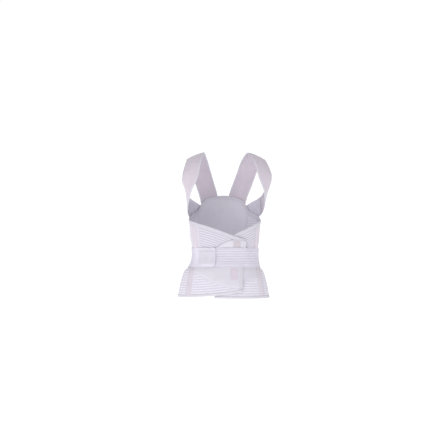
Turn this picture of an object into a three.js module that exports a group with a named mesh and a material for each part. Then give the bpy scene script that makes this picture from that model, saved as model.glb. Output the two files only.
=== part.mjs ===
// Thoracolumbar brace in the form it has when it is worn: an elastic corset round the waist, with two
// long straps that go over the shoulders, under the arms, across the back and round to the belly.
// Millimetres, +Z up, front towards -Y. The origin is the middle of the waist, on the axis of the torso.
// Right and left are the wearer's: right is -X.

import * as THREE from "three";
import { mergeVertices } from "three/addons/utils/BufferGeometryUtils.js";

// Cloth
const WALL = 1.1; // ribbed elastic between two ribs
const RIB = { pitch: 8.6, height: 0.7 };
const PANEL = 1.5; // back panel
const TAB = 1.1; // smooth closing tabs
const GAP = 0.5; // left between neighbours
const STRAP = { width: 68, thick: 2.4, rim: 0.8, ease: 0.6 };
const BAND = { width: 71, wall: 1.1, ribHeight: 0.6, ribs: 7, lift: 4.4 };
const CHANNEL = { width: 12.5, thick: 2.9, edge: 1.1, clear: 2.5 }; // clear: kept flat beside the tapes
const TAPE = { thick: 0.7, ease: 0.1, top: 12, hem: 7, end: 7 }; // tape on the edges and how wide it shows
const LABEL = 0.6;
const EASE = 0.4; // extra room where a layer bends over ribs
const RIB_MARGIN = 0.8; // plain cloth between a tape and the first rib

// Layers at the front, measured outwards from the torso
const TAPE_FACE = PANEL + GAP + TAPE.ease; // under the outer leg of a tape
const TAB_LIFT = TAPE_FACE + TAPE.thick + GAP;
const OVERLAP_LIFT = TAB_LIFT + TAB + GAP; // right front where it lies on the left front
// The right tab sinks on to the left front where no strip runs in under its edges
const SINK = { depth: TAB_LIFT - 0.6, from: 12, ramp: 14, outerX: -95, innerX: -60 };
const FRONT_STACK = OVERLAP_LIFT + TAB_LIFT + TAB + GAP; // under the first waist band
const SUNK_STACK = FRONT_STACK - SINK.depth + TAPE.thick + 2 * GAP; // the same at the end of the right tab
const BAND_THICK = BAND.wall + BAND.ribHeight;
const TOP_BAND_LIFT = FRONT_STACK + BAND_THICK + GAP;

// The torso that the brace follows. Each section is a superellipse with its own depth in front and behind.
const SQUARENESS = 2.3;
const TORSO = [
  { z: -175, half: 166, front: 103, back: 113 },
  { z: -152, half: 163.5, front: 102, back: 110 },
  { z: -108, half: 156, front: 99, back: 101 },
  { z: -62, half: 141, front: 93, back: 90 },
  { z: -44, half: 124.5, front: 88, back: 84 },
  { z: -28, half: 117.5, front: 84, back: 80 },
  { z: 0, half: 114, front: 82, back: 77 },
  { z: 24, half: 117, front: 84, back: 79 },
  { z: 45, half: 121.5, front: 87.5, back: 83 },
  { z: 75, half: 124.5, front: 92, back: 89 },
  { z: 115, half: 126.5, front: 98, back: 97 },
  { z: 180, half: 132, front: 105, back: 106 },
  { z: 250, half: 138, front: 104, back: 109 },
];

// Outlines in the front view. The right front closes over the left one.
const CHANNEL_LINE = [
  { z: -156, x: 130 },
  { z: -100, x: 124 },
  { z: -50, x: 115 },
  { z: -27, x: 107 },
  { z: 0, x: 104 },
  { z: 60, x: 111 },
  { z: 118, x: 115 },
];
const BACK_SEAM = [
  { z: -156, x: 104 },
  { z: -60, x: 88 },
  { z: 0, x: 74 },
  { z: 90, x: 84 },
  { z: 200, x: 98 },
];
const RIGHT_TOP = [
  { x: -125, z: 118 },
  { x: -92, z: 106 },
  { x: -48, z: 93 },
  { x: 20, z: 67.5 },
  { x: 64, z: 53 },
];
const RIGHT_HEM = [
  { x: -145, z: -149 },
  { x: -90, z: -145 },
  { x: -40, z: -141 },
  { x: 10, z: -135.5 },
  { x: 62, z: -128 },
];
const LEFT_TOP = [
  { x: -58, z: 27 },
  { x: -10, z: 46 },
  { x: 24, z: 68.5 },
  { x: 75, z: 93 },
  { x: 125, z: 118 },
];
const LEFT_HEM = [
  { x: -58, z: -150 },
  { x: 60, z: -152 },
  { x: 145, z: -154 },
];
const RIGHT_END = [
  { z: -150, x: 54 },
  { z: -60, x: 55.5 },
  { z: 20, x: 61 },
  { z: 70, x: 63 },
]; // free edge of the right front
const LEFT_END_X = -41; // hidden edge of the left front
const RISE = { start: 34, stop: 4 }; // where the right front climbs on the left one, outside its edge
// Heights at which the columns of a front are spaced out
const LEVEL = { top: 112, upperStrip: 60, tab: -30, lowerStrip: -100, hem: -150 };
// Edges of the tabs, by the distance from the end of their front
const TAB_TOP = [
  { inward: 0, z: 52 },
  { inward: 30, z: 52 },
  { inward: 48, z: 52.5 },
  { inward: 74, z: 45 },
  { inward: 104, z: 25.5 },
  { inward: 130, z: 13 },
  { inward: 170, z: -6 },
];
const RIGHT_TAB_LOW = [
  { inward: 0, z: -119 },
  { inward: 40, z: -113 },
  { inward: 66, z: -107 },
  { inward: 92, z: -99.5 },
  { inward: 110, z: -91 },
  { inward: 124, z: -81.5 },
  { inward: 147, z: -69 },
  { inward: 172, z: -56 },
];
const LEFT_TAB_LOW = [
  { inward: 0, z: -122 },
  { inward: 60, z: -113 },
  { inward: 98, z: -98 },
  { inward: 118, z: -91 },
  { inward: 150, z: -87 },
  { inward: 172, z: -85 },
];
const TAB_OVERLAP = 10; // how far the elastic runs on under a tab
const TAB_TOP_ROOM = 3; // a tab covers the top tape but not the edge itself
const HEM_TAPE_ROOM = TAPE.hem * 1.05 + 1; // a tab ends above the hem tape
const GORE_SEAM = { front: 1.4, back: 0.3 }; // degrees beside a channel and beside the back panel
const GORE_TOP = [
  { share: 0, z: 118 },
  { share: 0.3, z: 123 },
  { share: 1, z: 156 },
];
const GORE_HEM_X = 140; // where the hem of a front is carried on to its gore
const BACK_HEM_Z = -156;
const BACK_TOP = [
  { share: 0, z: 157 },
  { share: 0.07, z: 177 },
  { share: 0.15, z: 195 },
  { share: 0.28, z: 206 },
  { share: 0.5, z: 212 },
  { share: 0.72, z: 206 },
  { share: 0.85, z: 195 },
  { share: 0.93, z: 177 },
  { share: 1, z: 157 },
];

// Middle line of the left shoulder strap, from the back panel over the shoulder to behind the armpit,
// with the way its outer face looks and how far its edges bend in
const SHOULDER_LINE = [
  { x: 50, y: 106.1, z: 186, nx: 0.25, ny: 0.966, nz: -0.05, bend: 5 },
  { x: 60, y: 105.3, z: 224, nx: 0.28, ny: 0.955, nz: 0.06, bend: 5 },
  { x: 76, y: 98, z: 270, nx: 0.3, ny: 0.9, nz: 0.32, bend: 5 },
  { x: 93, y: 78, z: 323.5, nx: 0.34, ny: 0.68, nz: 0.65, bend: 4 },
  { x: 105, y: 45, z: 349.5, nx: 0.36, ny: 0.32, nz: 0.88, bend: 3 },
  { x: 111, y: 12, z: 354.5, nx: 0.38, ny: -0.02, nz: 0.92, bend: 2.5 },
  { x: 114.5, y: -20, z: 345.5, nx: 0.45, ny: -0.36, nz: 0.81, bend: 2.5 },
  { x: 126, y: -50, z: 318.5, nx: 0.56, ny: -0.6, nz: 0.57, bend: 4 },
  { x: 136, y: -67, z: 279, nx: 0.62, ny: -0.76, nz: 0.2, bend: 5 },
  { x: 146.5, y: -57, z: 243, nx: 0.845, ny: -0.535, nz: 0.02, bend: 5 },
  { x: 142.5, y: -33.3, z: 212, nx: 0.98, ny: -0.2, nz: 0, bend: 3 },
  { x: 137.1, y: -2, z: 187, nx: 1, ny: 0.02, nz: 0, bend: 1 },
  { x: 130.5, y: 38, z: 170, nx: 0.93, ny: 0.37, nz: 0.03, bend: 1 },
];
// How far the standing body sways to its left, by height
const SWAY = [
  { z: -156, x: -1.8 },
  { z: -100, x: -1.3 },
  { z: -58, x: -0.8 },
  { z: -25, x: 3.2 },
  { z: 5, x: 4.2 },
  { z: 35, x: 3.6 },
  { z: 70, x: 2.2 },
  { z: 120, x: 3.2 },
  { z: 170, x: 5 },
  { z: 230, x: 7 },
  { z: 290, x: 8 },
  { z: 370, x: 8.2 },
];

// Middle lines of the waist bands on the torso, from behind the armpit across the back to the belly.
// Bearing 0 is the front, 90 the side where the band starts, 180 the back.
const ARM_ROWS = [
  { bearing: 76.5, z: 212, lift: 7.5 },
  { bearing: 89.2, z: 187, lift: 4.6 },
  { bearing: 107.7, z: 168.8, lift: BAND.lift },
];
const STRAP_SEAM = 107.7; // where a shoulder strap is sewn to its band
// Rows over which a strap settles on its band, and the bearing between two of them
const SEAM_BLEND = { rows: 1.5, perRow: 18, gap: 0.4 };
const BAND_CROSS_LIFT = BAND.lift + BAND_THICK + GAP + EASE;
const TOP_BAND_LINE = [
  ...ARM_ROWS,
  { bearing: 120.6, z: 156.5, lift: BAND.lift },
  { bearing: 133, z: 140, lift: BAND.lift + 1.4 },
  { bearing: 145.5, z: 122, lift: BAND_CROSS_LIFT },
  { bearing: 180, z: 76, lift: BAND_CROSS_LIFT },
  { bearing: 214.5, z: 38, lift: BAND_CROSS_LIFT },
  { bearing: 227, z: 24, lift: BAND.lift + 1.4 },
  { bearing: 240, z: 9, lift: BAND.lift },
  { bearing: 254, z: -7, lift: BAND.lift },
  { bearing: 272, z: -12.5, lift: BAND.lift + 0.5 },
  { bearing: 286, z: -12, lift: BAND.lift + 0.8 },
  { bearing: 298, z: -11, lift: BAND.lift + 1.6 },
  { bearing: 310, z: -10, lift: BAND.lift + 4.4 },
  { bearing: 320, z: -10, lift: TOP_BAND_LIFT },
  { bearing: 333.5, z: -10, lift: TOP_BAND_LIFT },
];
const UNDER_BAND_LINE = [
  ...ARM_ROWS,
  { bearing: 120.6, z: 156.5, lift: BAND.lift },
  { bearing: 133, z: 140, lift: BAND.lift },
  { bearing: 145.5, z: 122, lift: BAND.lift },
  { bearing: 180, z: 76, lift: BAND.lift },
  { bearing: 214.5, z: 38, lift: BAND.lift },
  { bearing: 227, z: 24, lift: BAND.lift },
  { bearing: 240, z: 9, lift: BAND.lift },
  { bearing: 254, z: -7, lift: BAND.lift },
  { bearing: 272, z: -12.5, lift: BAND.lift + 0.5 },
  { bearing: 288, z: -12, lift: BAND.lift + 0.8 },
  { bearing: 300, z: -11, lift: BAND.lift + 0.9 },
  { bearing: 309, z: -10, lift: BAND.lift + 1.8 },
  { bearing: 317.5, z: -10, lift: SUNK_STACK },
  { bearing: 340, z: -10, lift: SUNK_STACK },
  { bearing: 366, z: -10, lift: FRONT_STACK },
  { bearing: 396, z: -10, lift: FRONT_STACK },
];
const BAND_TAB = { from: 301, to: 331.5, margin: 10.5, thick: 1.1 }; // hook patch on the visible band end
const LABELS = {
  label_upper: { x: 33, z: 38.5, wide: 24, tall: 22 },
  label_lower: { x: 27, z: -68, wide: 24, tall: 40 },
};

// Colours
const ELASTIC = { color: 0xe2dfec, roughness: 0.85, metalness: 0 };
const SMOOTH = { color: 0xdad7e4, roughness: 0.9, metalness: 0 };
const PADDED = { color: 0xd3d0de, roughness: 0.9, metalness: 0 };
const TRIM = { color: 0xe6e4ef, roughness: 0.8, metalness: 0 };
const CASING = { color: 0xe2d9e0, roughness: 0.85, metalness: 0 };

// A smooth curve through the rows of a table: the value of one column where another column is `at`.
function tableAt(rows, key, column, at) {
  const last = rows.length - 1;
  let i = 0;
  while (i < last - 1 && at > rows[i + 1][key]) i += 1;
  const slope = (j) => {
    const a = rows[Math.max(j - 1, 0)];
    const b = rows[Math.min(j + 1, last)];
    return (b[column] - a[column]) / (b[key] - a[key]);
  };
  const span = rows[i + 1][key] - rows[i][key];
  const t = THREE.MathUtils.clamp((at - rows[i][key]) / span, 0, 1);
  const start = rows[i][column];
  const end = rows[i + 1][column];
  const rise = end - start;
  const m0 = slope(i) * span;
  const m1 = slope(i + 1) * span;
  return start + t * (m0 + t * (3 * rise - 2 * m0 - m1 + t * (m0 + m1 - 2 * rise)));
}

const radians = THREE.MathUtils.degToRad;
const power = (t, p) => Math.sign(t) * Math.abs(t) ** p;

// A point of the torso, lifted along its normal. Bearing 0 is the front, 90 the left side, 180 the back.
function onTorso(bearing, z, lift) {
  const across = Math.sin(radians(bearing));
  const ahead = Math.cos(radians(bearing));
  const depthColumn = ahead > 0 ? "front" : "back";
  const half = tableAt(TORSO, "z", "half", z);
  const depth = tableAt(TORSO, "z", depthColumn, z);
  const share = Math.abs(across / half) ** SQUARENESS + Math.abs(ahead / depth) ** SQUARENESS;
  const reach = share ** (-1 / SQUARENESS);
  const x = reach * across;
  const y = -reach * ahead;
  const halfSlope = tableAt(TORSO, "z", "half", z + 0.5) - tableAt(TORSO, "z", "half", z - 0.5);
  const depthSlope = tableAt(TORSO, "z", depthColumn, z + 0.5) - tableAt(TORSO, "z", depthColumn, z - 0.5);
  const normal = new THREE.Vector3(
    power(x / half, SQUARENESS - 1) / half,
    power(y / depth, SQUARENESS - 1) / depth,
    -(Math.abs(x / half) ** SQUARENESS * halfSlope) / half -
      (Math.abs(y / depth) ** SQUARENESS * depthSlope) / depth,
  ).normalize();
  return new THREE.Vector3(x, y, z).addScaledVector(normal, lift);
}

// The bearing, on the front or the back half, where the torso has this x at this height.
function bearingOf(x, z, depthColumn = "front") {
  const share = THREE.MathUtils.clamp(x / tableAt(TORSO, "z", "half", z), -1, 1);
  const depth = tableAt(TORSO, "z", depthColumn, z);
  const y = depth * (1 - Math.abs(share) ** SQUARENESS) ** (1 / SQUARENESS);
  return THREE.MathUtils.radToDeg(Math.atan2(x, depthColumn === "front" ? y : -y));
}

// A closed solid from a row of sections. Each has an outer and an inner chain of points, which start at
// the same edge, and the first and last section are closed by a ladder between their two chains.
function loft(name, finish, stations, sectionAt, place) {
  const positions = [];
  const triangles = [];
  const chains = sectionAt(stations[0]);
  const outerCount = chains.outer.length;
  const size = outerCount + chains.inner.length;
  for (const u of stations) {
    const { outer, inner } = sectionAt(u);
    const sway = (p) => p.setX(p.x + tableAt(SWAY, "z", "x", p.z));
    for (const [across, lift] of [...outer, ...inner.toReversed()])
      positions.push(...sway(place(u, across, lift)).toArray());
  }
  for (let i = 0; i + 1 < stations.length; i += 1)
    for (let j = 0; j < size; j += 1) {
      const a = i * size + j;
      const b = i * size + ((j + 1) % size);
      triangles.push([a, b, b + size], [a, b + size, a + size]);
    }
  const ladder = (station) => {
    const { outer, inner } = sectionAt(stations[station]);
    const base = station * size;
    const rungs = [];
    let i = 0;
    let j = 0;
    while (i + 1 < outer.length || j + 1 < inner.length) {
      const innerCorner = base + size - 1 - j;
      const nextOuter = (i + 1) / (outer.length - 1);
      const nextInner = (j + 1) / (inner.length - 1);
      if (nextOuter <= nextInner) {
        rungs.push([base + i, base + i + 1, innerCorner]);
        i += 1;
      } else {
        rungs.push([base + i, innerCorner - 1, innerCorner]);
        j += 1;
      }
    }
    return rungs;
  };
  triangles.push(...ladder(0).map(([a, b, c]) => [a, c, b]), ...ladder(stations.length - 1));
  return solid(name, finish, positions, triangles);
}

// A named mesh from corner positions and triangles, with equal corners merged and faces turned outwards.
function solid(name, finish, positions, triangles) {
  const loose = new THREE.BufferGeometry();
  loose.setAttribute("position", new THREE.Float32BufferAttribute(positions, 3));
  loose.setIndex(triangles.flat());
  const merged = mergeVertices(loose, 1e-3);
  const index = merged.index.array;
  const corner = (i) => new THREE.Vector3().fromBufferAttribute(merged.attributes.position, i);
  const kept = [];
  let volume = 0;
  for (let i = 0; i < index.length; i += 3) {
    const [a, b, c] = index.slice(i, i + 3);
    if (a === b || b === c || c === a) continue;
    kept.push([a, b, c]);
    volume += corner(a).dot(corner(b).cross(corner(c)));
  }
  merged.setIndex((volume < 0 ? kept.map(([a, b, c]) => [a, c, b]) : kept).flat());
  merged.computeVertexNormals();
  const mesh = new THREE.Mesh(merged, new THREE.MeshStandardMaterial(finish));
  mesh.name = name;
  return mesh;
}

function steps(from, to, count) {
  return Array.from({ length: count + 1 }, (_, i) => from + ((to - from) * i) / count);
}

// Section of a plain wall from one edge to the other.
function plainSection(low, high, thick, rows) {
  const chain = (lift) => steps(low, high, rows).map((z) => [z, lift]);
  return { outer: chain(thick), inner: chain(0) };
}

// Section of ribbed elastic. The ribs are counted from one edge, and end where the other edge cuts them.
// `border` and `cutBorder` stay plain.
function ribbedSection(edge, cut, ribs, { border, cutBorder, innerRows }) {
  const way = Math.sign(cut - edge);
  const reach = Math.abs(cut - edge);
  const rows = [{ at: 0, lift: WALL }];
  rows.push({ at: border, lift: WALL });
  for (let i = 0; i < ribs; i += 1) {
    const start = border + i * RIB.pitch;
    rows.push({ at: start + RIB.pitch / 2, lift: WALL + RIB.height });
    rows.push({ at: start + RIB.pitch, lift: WALL });
  }
  const outer = rows.map(({ at, lift }) => {
    if (at > reach - 0.5) return [cut, WALL];
    return [edge + way * at, at < reach - cutBorder ? lift : WALL];
  });
  outer[outer.length - 1] = [cut, WALL];
  const inner = steps(edge, cut, innerRows).map((z) => [z, 0]);
  return { outer, inner };
}

const ribsIn = (reach, border) => Math.ceil((reach - border) / RIB.pitch);
const channelX = (z) => tableAt(CHANNEL_LINE, "z", "x", z);
const panelEdgeX = (z) => channelX(z) - CHANNEL.width / 2 - GAP;

// How far the right front stands off the torso so that it clears the left front.
function rightLift(x) {
  return OVERLAP_LIFT * THREE.MathUtils.smoothstep(x, LEFT_END_X - RISE.start, LEFT_END_X - RISE.stop);
}

const FRONT_COLUMNS = 11;

// The two fronts, as seen from the front: where they end, their edges and their lift.
const FRONTS = {
  right: {
    side: -1,
    endX: (z) => tableAt(RIGHT_END, "z", "x", z),
    top: RIGHT_TOP,
    hem: RIGHT_HEM,
    tabLow: RIGHT_TAB_LOW,
    sink: SINK.depth,
    lift: rightLift,
  },
  left: {
    side: 1,
    endX: () => LEFT_END_X,
    top: LEFT_TOP,
    hem: LEFT_HEM,
    tabLow: LEFT_TAB_LOW,
    sink: 0,
    lift: () => 0,
  },
};
const frontTop = (front, x) => tableAt(front.top, "x", "z", x);
const frontHem = (front, x) => tableAt(front.hem, "x", "z", x);
const frontX = (front, u, z) => THREE.MathUtils.lerp(front.side * panelEdgeX(z), front.endX(z), u);

// Edges of a tab, kept inside the edges of its front.
function tabTop(front, x) {
  const z = tableAt(TAB_TOP, "inward", "z", Math.abs(front.endX(LEVEL.upperStrip) - x));
  return Math.min(z, frontTop(front, x) - TAB_TOP_ROOM);
}
function tabLow(front, x) {
  const z = tableAt(front.tabLow, "inward", "z", Math.abs(front.endX(LEVEL.lowerStrip) - x));
  return Math.max(z, frontHem(front, x) + HEM_TAPE_ROOM);
}

// How high a tab lies on its front.
function tabLift(front, x, z) {
  const inside = Math.min(tabTop(front, x) - z, z - tabLow(front, x)) - SINK.from;
  const share = THREE.MathUtils.clamp(inside / SINK.ramp, 0, 1);
  const side = THREE.MathUtils.smoothstep(x, SINK.outerX, SINK.innerX);
  return front.lift(x) + TAB_LIFT - front.sink * share * side;
}

// One ribbed strip of a front: from its bound edge to where it runs in under the tab.
function frontStrip(name, front, upper) {
  const border = (upper ? TAPE.top : TAPE.hem) + RIB_MARGIN;
  const limits = (u) => {
    const x = frontX(front, u, upper ? LEVEL.upperStrip : LEVEL.lowerStrip);
    if (upper) return [frontTop(front, x), tabTop(front, x) - TAB_OVERLAP];
    return [frontHem(front, x), tabLow(front, x) + TAB_OVERLAP];
  };
  const stations = steps(0, 1, FRONT_COLUMNS);
  const reach = Math.max(...stations.map((u) => Math.abs(limits(u)[0] - limits(u)[1])));
  const style = { border, cutBorder: TAB_OVERLAP + 1, innerRows: 6 };
  const section = (u) => ribbedSection(...limits(u), ribsIn(reach, border), style);
  const place = (u, z, lift) => {
    const x = frontX(front, u, z);
    return onTorso(bearingOf(x, z), z, front.lift(x) + lift);
  };
  return loft(name, ELASTIC, stations, section, place);
}

// The smooth tab that the two strips of a front are sewn to.
function frontTab(name, front) {
  const section = (u) => {
    const x = frontX(front, u, LEVEL.tab);
    const low = tabLow(front, x);
    const high = tabTop(front, x);
    const sunk = SINK.from + SINK.ramp;
    const rows = [low, low + SINK.from, ...steps(low + sunk, high - sunk, 5), high - SINK.from, high];
    return { outer: rows.map((z) => [z, TAB]), inner: rows.map((z) => [z, 0]) };
  };
  const place = (u, z, lift) => {
    const x = frontX(front, u, z);
    return onTorso(bearingOf(x, z), z, tabLift(front, x, z) + lift);
  };
  return loft(name, SMOOTH, steps(0, 1, FRONT_COLUMNS), section, place);
}

// A blank label on the right tab.
function label(name, { x, z, wide, tall }) {
  const section = () => plainSection(z - tall / 2, z + tall / 2, LABEL, 3);
  const place = (across, height, lift) => {
    const base = tabLift(FRONTS.right, across, height) + TAB + GAP;
    return onTorso(bearingOf(across, height), height, base + lift);
  };
  return loft(name, TRIM, steps(x - wide / 2, x + wide / 2, 2), section, place);
}

// The casing of a side stay, from hem to top edge between a front and a gore, flat under the edge tapes.
function stayChannel(name, side) {
  const front = side < 0 ? FRONTS.right : FRONTS.left;
  const half = CHANNEL.width / 2;
  const low = (across) => frontHem(front, side * (channelX(LEVEL.hem) + across));
  const high = (across) => frontTop(front, side * (channelX(LEVEL.top) + across));
  const length = high(0) - low(0);
  const start = (TAPE.hem + CHANNEL.clear) / length;
  const stop = 1 - (TAPE.top + CHANNEL.clear) / length;
  const step = 1 / length;
  const section = (t) => {
    const thick = t < start || t > stop ? CHANNEL.edge : CHANNEL.thick;
    const chain = [-1, -0.55, 0.55, 1].map((share, i) => [share * half, i % 3 ? thick : CHANNEL.edge]);
    return { outer: chain, inner: [-half, half].map((across) => [across, 0]) };
  };
  const place = (t, across, lift) => {
    const z = THREE.MathUtils.lerp(low(across), high(across), t);
    return onTorso(side * bearingOf(channelX(z) + across, z), z, lift);
  };
  const inside = steps(start + step, stop - step, 30);
  return loft(name, CASING, [0, start - step, ...inside, stop + step, 1], section, place);
}

// Bearings of the seams that bound a gore.
const goreFront = (z) => bearingOf(channelX(z) + CHANNEL.width / 2, z) + GORE_SEAM.front;
const goreBack = (z) => bearingOf(tableAt(BACK_SEAM, "z", "x", z), z, "back");

// The ribbed gore under the arm, between the stay channel and the back panel.
const goreBearing = (u, z) => THREE.MathUtils.lerp(goreFront(z), goreBack(z) - GORE_SEAM.back, u);
const goreHem = (side, u) => {
  const front = side < 0 ? FRONTS.right : FRONTS.left;
  return THREE.MathUtils.lerp(frontHem(front, side * GORE_HEM_X), BACK_HEM_Z, u);
};
const GORE_COLUMNS = 6;
const GORE_PLAIN = 5; // plain cloth under the top tape of a gore
const goreTop = (u) => tableAt(GORE_TOP, "share", "z", u);
function sideGore(name, side) {
  const border = TAPE.hem + RIB_MARGIN;
  const ribs = ribsIn(goreTop(1) - BACK_HEM_Z, border);
  const style = { border, cutBorder: TAPE.top + GORE_PLAIN, innerRows: 22 };
  const section = (u) => ribbedSection(goreHem(side, u), goreTop(u), ribs, style);
  const place = (u, z, lift) => onTorso(side * goreBearing(u, z), z, lift);
  return loft(name, ELASTIC, steps(0, 1, GORE_COLUMNS), section, place);
}

// The plain panel over the spine.
const BACK_COLUMNS = 12;
const SEAM_SHARE = 0.04; // one more row of the tape close to the back seam
const MIDDLE_GAP = 1; // degrees left between the right and left tapes at the middle of the back
function backPanel() {
  const seam = (z) => goreBack(z) + GORE_SEAM.back;
  const bearing = (u, z) => THREE.MathUtils.lerp(seam(z), 360 - seam(z), u);
  const section = (u) => plainSection(BACK_HEM_Z, tableAt(BACK_TOP, "share", "z", u), PANEL, 11);
  const place = (u, z, lift) => onTorso(bearing(u, z), z, lift);
  return loft("back_panel", SMOOTH, steps(0, 1, BACK_COLUMNS), section, place);
}

// Frame of a shoulder strap at a place along its line: middle, across (outer edge positive) and outward.
function shoulderFrame(s) {
  const rows = SHOULDER_LINE.map((row, i) => ({ ...row, at: i }));
  const read = (names, at) => new THREE.Vector3(...names.map((n) => tableAt(rows, "at", n, at)));
  const middle = read(["x", "y", "z"], s);
  const along = read(["x", "y", "z"], s + STRAP.ease).sub(read(["x", "y", "z"], s - STRAP.ease));
  const across = read(["nx", "ny", "nz"], s).cross(along).normalize();
  const outward = along.clone().cross(across).normalize();
  return { middle, across, outward };
}

// A padded strap from the back panel over the shoulder to behind the armpit.
function shoulderStrap(name, side) {
  const half = STRAP.width / 2;
  const last = SHOULDER_LINE.length - 1;
  const section = (s) => {
    const bend = tableAt(SHOULDER_LINE.map((row, i) => ({ ...row, at: i })), "at", "bend", s);
    const chain = [-1, -0.55, 0, 0.55, 1];
    const at = (share, lift) => [share * half, lift - bend * share * share];
    return {
      outer: chain.map((share) => at(share, Math.abs(share) < 1 ? STRAP.thick : STRAP.rim)),
      inner: chain.map((share) => at(share, 0)),
    };
  };
  const place = (s, a, lift) => {
    const { middle, across, outward } = shoulderFrame(s);
    const p = middle.addScaledVector(across, a).addScaledVector(outward, lift);
    const bearing = STRAP_SEAM - SEAM_BLEND.gap + SEAM_BLEND.perRow * (s - last);
    const onBand = besideLine(UNDER_BAND_LINE, bearing, a, lift);
    p.lerp(onBand, THREE.MathUtils.smoothstep(s, last - SEAM_BLEND.rows, last));
    return new THREE.Vector3(side * p.x, p.y, p.z);
  };
  return loft(name, PADDED, steps(0, last, last * 2), section, place);
}

// A place on the torso beside a line: `across` millimetres to the upper side of it.
function besideLine(rows, bearing, across, lift) {
  const z = tableAt(rows, "bearing", "z", bearing);
  const slope = tableAt(rows, "bearing", "z", bearing + 0.5) - tableAt(rows, "bearing", "z", bearing - 0.5);
  const perDegree = onTorso(bearing + 0.5, z, 0).distanceTo(onTorso(bearing - 0.5, z, 0));
  const length = Math.hypot(perDegree, slope);
  const turned = bearing - ((slope / length) * across) / perDegree;
  return onTorso(turned, z + (perDegree / length) * across, tableAt(rows, "bearing", "lift", bearing) + lift);
}

// A ribbed band from behind the armpit across the back and round the waist.
function waistBand(name, rows, side, smoothFrom) {
  const half = BAND.width / 2;
  const pitch = BAND.width / BAND.ribs;
  const section = (bearing) => {
    const ribLift = bearing < smoothFrom ? BAND_THICK : BAND.wall;
    const outer = [[-half, BAND.wall]];
    for (let i = 0; i < BAND.ribs; i += 1) {
      outer.push([-half + (i + 0.5) * pitch, ribLift]);
      outer.push([-half + (i + 1) * pitch, BAND.wall]);
    }
    return { outer, inner: steps(-half, half, 4).map((a) => [a, 0]) };
  };
  const end = rows[rows.length - 1].bearing;
  const place = (bearing, across, lift) => {
    const p = besideLine(rows, bearing, across, lift);
    return new THREE.Vector3(side * p.x, p.y, p.z);
  };
  return loft(name, ELASTIC, steps(STRAP_SEAM, end, Math.round((end - STRAP_SEAM) / 9)), section, place);
}

// The smooth hook patch sewn on the visible end of the top band.
function bandTab() {
  const half = BAND.width / 2 - BAND_TAB.margin;
  const rows = TOP_BAND_LINE;
  const section = () => plainSection(-half, half, BAND_TAB.thick, 4);
  const place = (bearing, across, lift) => besideLine(rows, bearing, across, BAND.wall + GAP + lift);
  return loft("band_tab", SMOOTH, steps(BAND_TAB.from, BAND_TAB.to, 6), section, place);
}

// Rows of an edge of the brace, from the end of a front round to the middle of the back.
function edgeRows(front, upper) {
  const rows = [];
  const add = (bearing, z, lift) => rows.push({ bearing, z, lift });
  const frontEdge = upper ? frontTop : frontHem;
  const level = upper ? LEVEL.top : LEVEL.hem;
  for (const u of steps(1, 0, FRONT_COLUMNS).slice(0, -1)) {
    const x = frontX(front, u, level);
    const z = frontEdge(front, x);
    add(front.side * bearingOf(x, z), z, front.lift(x));
  }
  for (const across of steps(-CHANNEL.width / 2, CHANNEL.width / 2, 4)) {
    const z = frontEdge(front, front.side * (channelX(level) + across));
    add(bearingOf(channelX(level) + across, z), z, 0);
  }
  for (const u of steps(0, 1, GORE_COLUMNS)) {
    const z = upper ? goreTop(u) : goreHem(front.side, u);
    add(goreBearing(u, z), z, 0);
  }
  for (const share of [SEAM_SHARE, ...steps(0, 0.5, BACK_COLUMNS / 2).slice(1)]) {
    const z = upper ? tableAt(BACK_TOP, "share", "z", share) : BACK_HEM_Z;
    add(THREE.MathUtils.lerp(goreBack(z), 360 - MIDDLE_GAP - goreBack(z), share), z, 0);
  }
  return rows;
}

// Tape folded over an edge of the brace. `wide` shows outside.
function edgeTape(name, front, upper) {
  const rows = edgeRows(front, upper);
  const wide = upper ? TAPE.top : TAPE.hem;
  const out = upper ? 1 : -1;
  const turned = GAP + TAPE.thick;
  const section = () => ({
    outer: [[-wide * out, TAPE_FACE + TAPE.thick], [turned * out, TAPE_FACE + TAPE.thick], [turned * out, 0]],
    inner: [[-wide * out, TAPE_FACE], [GAP * out, TAPE_FACE], [GAP * out, 0]],
  });
  const place = (bearing, across, lift) => {
    const p = besideLine(rows, bearing, across, lift);
    return new THREE.Vector3(front.side * p.x, p.y, p.z);
  };
  return loft(name, TRIM, rows.map((row) => row.bearing), section, place);
}

// Tape folded over the free edge of the right tab.
function endTape() {
  const front = FRONTS.right;
  const face = TAB + GAP;
  const turned = GAP + TAPE.thick;
  const section = () => ({
    outer: [[-TAPE.end, face + TAPE.thick], [turned, face + TAPE.thick], [turned, 0]],
    inner: [[-TAPE.end, face], [GAP, face], [GAP, 0]],
  });
  const place = (z, across, lift) => {
    const x = front.endX(z) + across;
    return onTorso(bearingOf(x, z), z, tabLift(front, x, z) + lift);
  };
  const low = tabLow(front, front.endX(LEVEL.lowerStrip));
  const high = tabTop(front, front.endX(LEVEL.upperStrip));
  const sunk = SINK.from + SINK.ramp;
  const stations = [low, low + SINK.from, ...steps(low + sunk, high - sunk, 5), high - SINK.from, high];
  return loft("end_tape_right", TRIM, stations, section, place);
}

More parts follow.
